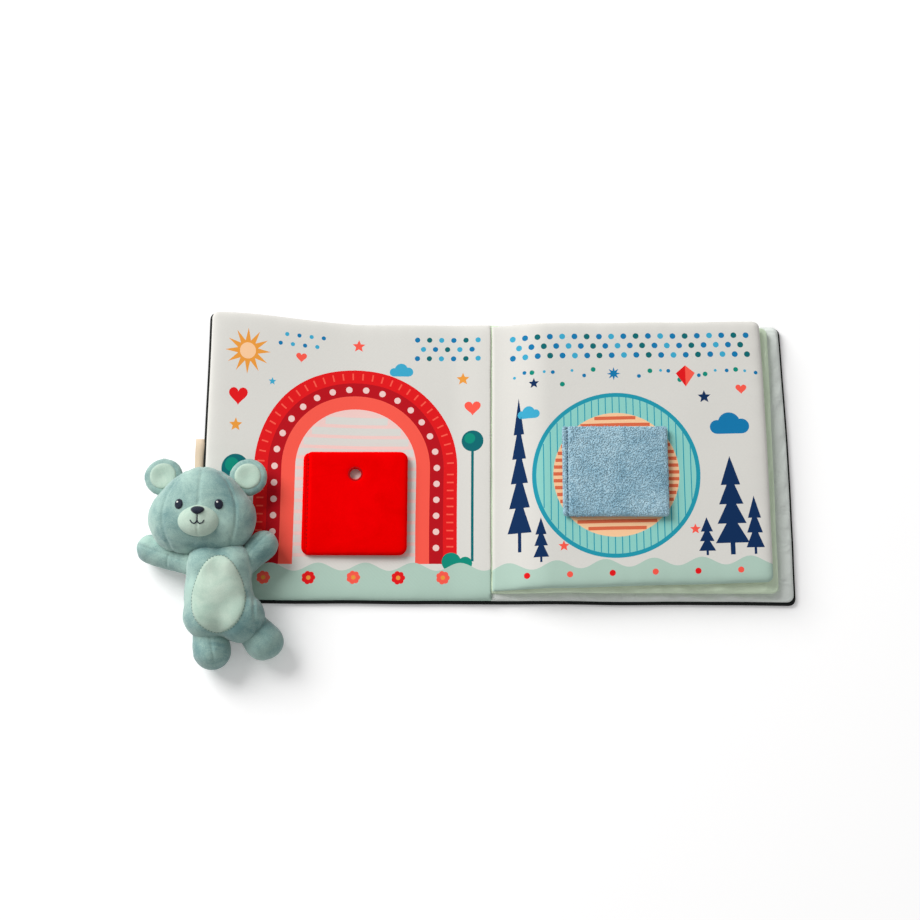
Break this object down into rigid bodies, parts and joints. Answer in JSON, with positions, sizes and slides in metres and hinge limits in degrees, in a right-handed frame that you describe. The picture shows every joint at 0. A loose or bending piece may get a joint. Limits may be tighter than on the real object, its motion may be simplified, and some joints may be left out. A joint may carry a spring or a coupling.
{
  "type": "cloth activity book",
  "caption": "Soft cloth book lying open, with padded covers and leaves, a velour flap with a peephole, a terry flap and a stuffed bear on a tape.",
  "frame": {"origin": "on the underside of the spine, at the middle of its height, where the open book lies on the table", "axes": "+X to the right across the open book, +Y up the page, +Z out of the table"},
  "size_m": [0.4709, 0.2609, 0.0557],
  "materials": {
    "dark_fabric": "matt woven cotton",
    "page_cloth": "matt printed polyester cloth",
    "leaf_cloth": "matt printed polyester cloth",
    "back_lining": "matt crinkled cloth",
    "red_velour": "short pile velour",
    "blue_terry": "terry loops",
    "print_red": "printed cloth",
    "print_dark_red": "printed cloth",
    "print_coral": "printed cloth",
    "print_pink": "printed cloth",
    "print_orange": "printed cloth",
    "print_blue": "printed cloth",
    "print_teal": "printed cloth",
    "print_pale_green": "printed cloth",
    "print_turquoise": "printed cloth",
    "print_dark_turquoise": "printed cloth",
    "print_cream": "printed cloth",
    "print_navy": "printed cloth",
    "tape_weave": "woven tape",
    "sage_velour": "short pile velour",
    "pale_velour": "short pile velour",
    "dark_thread": "embroidery thread"
  },
  "bodies": {
    "front_cover": {"front_cover_outer": "dark_fabric", "front_cover_lining": "page_cloth", "red_velour_flap": "red_velour", "left_print_red": "print_red", "left_print_dark_red": "print_dark_red", "left_print_coral": "print_coral", "left_print_pink": "print_pink", "left_print_orange": "print_orange", "left_print_blue": "print_blue", "left_print_teal": "print_teal", "left_print_pale_green": "print_pale_green", "tether_tape": "tape_weave", "bear_head": "sage_velour", "bear_muzzle": "pale_velour", "bear_nose": "dark_thread", "bear_eyes": "dark_thread", "bear_left_ear": "sage_velour", "bear_right_ear": "sage_velour", "bear_left_ear_lining": "pale_velour", "bear_right_ear_lining": "pale_velour", "bear_body": "sage_velour", "bear_belly_patch": "pale_velour", "bear_left_arm": "sage_velour", "bear_right_arm": "sage_velour", "bear_left_leg": "sage_velour", "bear_right_leg": "sage_velour"},
    "pages": {"pages": "leaf_cloth", "spine_strip": "dark_fabric", "blue_terry_flap": "blue_terry", "right_print_turquoise": "print_turquoise", "right_print_dark_turquoise": "print_dark_turquoise", "right_print_orange": "print_orange", "right_print_cream": "print_cream", "right_print_navy": "print_navy", "right_print_blue": "print_blue", "right_print_pale_green": "print_pale_green", "right_print_coral": "print_coral"},
    "back_cover": {"back_cover_outer": "dark_fabric", "back_cover_lining": "back_lining"}
  },
  "joints": [
    {"name": "front_cover_hinge", "type": "hinge", "parent": "front_cover", "child": "pages", "pos_m": [0, 0, 0.0145], "axis": [0, -1, 0], "range_deg": [0, 165]},
    {"name": "back_cover_hinge", "type": "hinge", "parent": "pages", "child": "back_cover", "pos_m": [0, 0, -0.0003], "axis": [0, 1, 0], "range_deg": [0, 175]}
  ]
}
